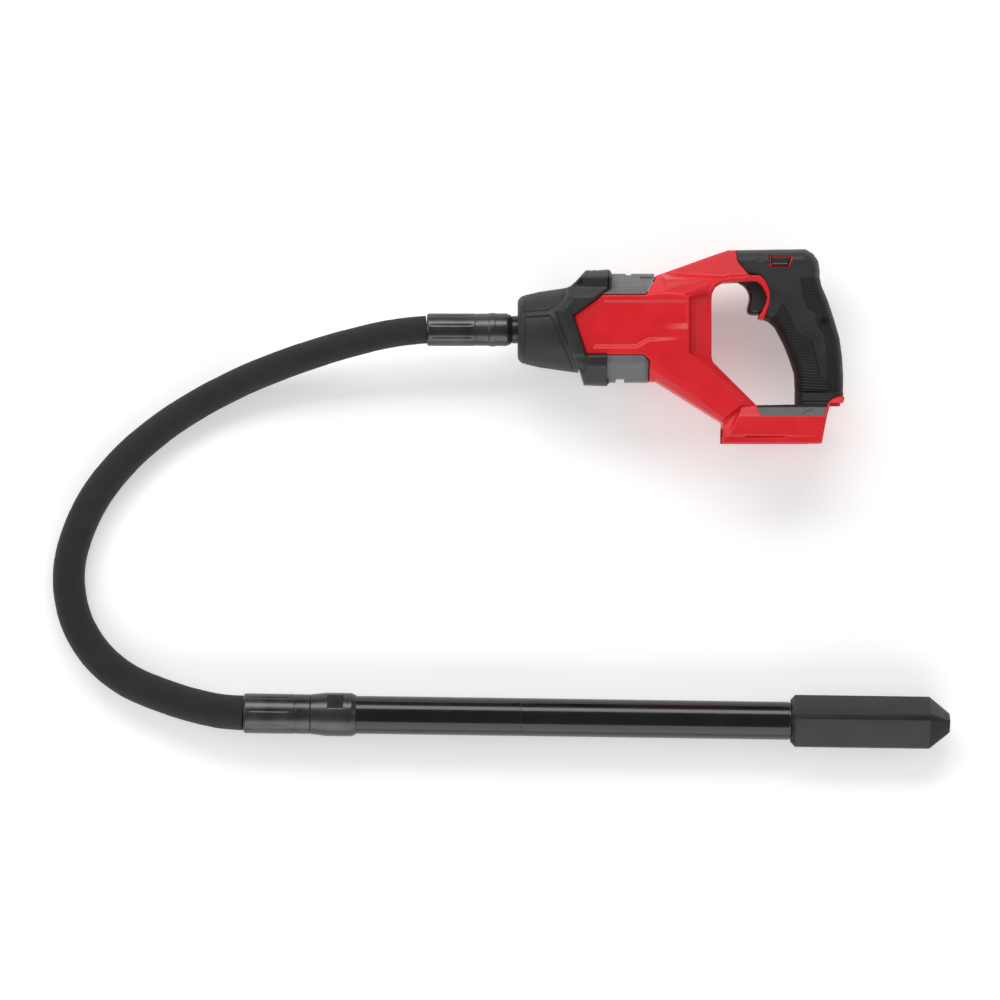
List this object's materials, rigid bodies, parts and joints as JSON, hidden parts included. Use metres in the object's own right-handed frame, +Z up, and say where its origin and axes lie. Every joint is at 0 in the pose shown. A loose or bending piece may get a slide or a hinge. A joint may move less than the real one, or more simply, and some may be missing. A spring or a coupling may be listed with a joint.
{
  "type": "concrete vibrator",
  "caption": "Battery concrete vibrator: D-handled motor unit, hose with flexible core, rigid wand and square vibrating head, lying on its side.",
  "frame": {"origin": "centre of the bumper collar's side flat, on the floor under the motor unit that lies on it", "axes": "+Z up, away from the floor and across the motor unit; +X from the hose towards the handle and towards the head, along the motor axis; +Y towards the top of the handle"},
  "size_m": [0.8465, 0.4699, 0.104],
  "materials": {
    "red_shell": "satin moulded nylon, bright red",
    "soft_grip": "moulded soft rubber with fine dots and ribs",
    "skirt": "dark grey moulded plastic",
    "frame": "grey powder coat",
    "bumper": "matte moulded rubber",
    "nose": "charcoal textured nylon",
    "screws": "black oxide",
    "laminations": "stacked electrical steel",
    "copper": "enamelled copper wire",
    "bearing_steel": "ground bearing steel",
    "magnets": "plated magnets in a glued sleeve",
    "machined_steel": "turned and ground",
    "fan": "black glass-filled nylon",
    "module": "potted board under black fins",
    "terminals": "black block with bare blades",
    "lead_jacket": "silicone wire jacket",
    "trigger": "fine spark texture, darker edges",
    "switch": "moulded switch body",
    "spring_steel": "bright drawn wire",
    "seal": "nitrile",
    "ferrule": "dark crimped steel, lightly brushed",
    "hose": "cloth-wrapped black rubber",
    "core": "wound steel wire",
    "pipe": "gloss black lacquer",
    "bronze": "sintered bronze",
    "head": "black phosphated hardened steel"
  },
  "bodies": {
    "root": {"left_housing": "red_shell", "right_housing": "red_shell", "left_grip": "soft_grip", "right_grip": "soft_grip", "left_skirt": "skirt", "right_skirt": "skirt", "motor_frame": "frame", "bumper_collar": "bumper", "nose_cone": "nose", "nose_screws": "screws", "housing_screws": "screws", "stator_core": "laminations", "stator_coils": "copper", "front_bearing_outer": "bearing_steel", "rear_bearing_outer": "bearing_steel", "control_module": "module", "terminal_block": "terminals", "switch_leads": "lead_jacket", "motor_leads": "lead_jacket", "trigger_switch": "switch", "trigger_spring": "spring_steel", "coupling_neck": "machined_steel", "neck_seal": "seal", "drive_ferrule": "ferrule", "hose_casing": "hose", "flexible_core": "core", "head_ferrule": "ferrule", "wand_adapter": "ferrule", "rear_pipe": "pipe", "front_pipe": "pipe", "pipe_joiner": "machined_steel", "shaft_bushings": "bronze", "head_coupling": "machined_steel", "head_shell": "head", "shaft_seal": "seal", "head_bearing_outers": "bearing_steel"},
    "rotor": {"rotor_magnets": "magnets", "rotor_shaft": "machined_steel", "rotor_bearing_inners": "bearing_steel", "cooling_fan": "fan", "drive_socket": "machined_steel", "core_drive_tip": "machined_steel"},
    "eccentric": {"eccentric_weight": "machined_steel", "extension_shaft": "machined_steel", "head_bearing_inners": "bearing_steel", "core_driven_tip": "machined_steel"},
    "trigger_body": {"trigger": "trigger"},
    "lock_body": {"lock_button": "trigger"}
  },
  "joints": [
    {"name": "rotor_spin", "type": "hinge", "parent": "root", "child": "rotor", "pos_m": [0.02, 0, 0.052], "axis": [1, 0, 0], "continuous": true},
    {"name": "eccentric_spin", "type": "hinge", "parent": "root", "child": "eccentric", "pos_m": [0.08196, -0.36615, 0.02465], "axis": [0.9999, -0.014, 0], "continuous": true},
    {"name": "trigger_pull", "type": "slide", "parent": "root", "child": "trigger_body", "axis": [1, 0, 0], "range_m": [0, 0.007], "stiffness_N_per_m": 600, "springref_m": -0.004, "deforming": ["trigger_spring"]},
    {"name": "lock_slide", "type": "slide", "parent": "root", "child": "lock_body", "axis": [0, 0, 1], "range_m": [0, 0.004]}
  ],
  "couplings": [
    {"joint": "rotor_spin", "follows": "eccentric_spin", "ratio": -1}
  ]
}
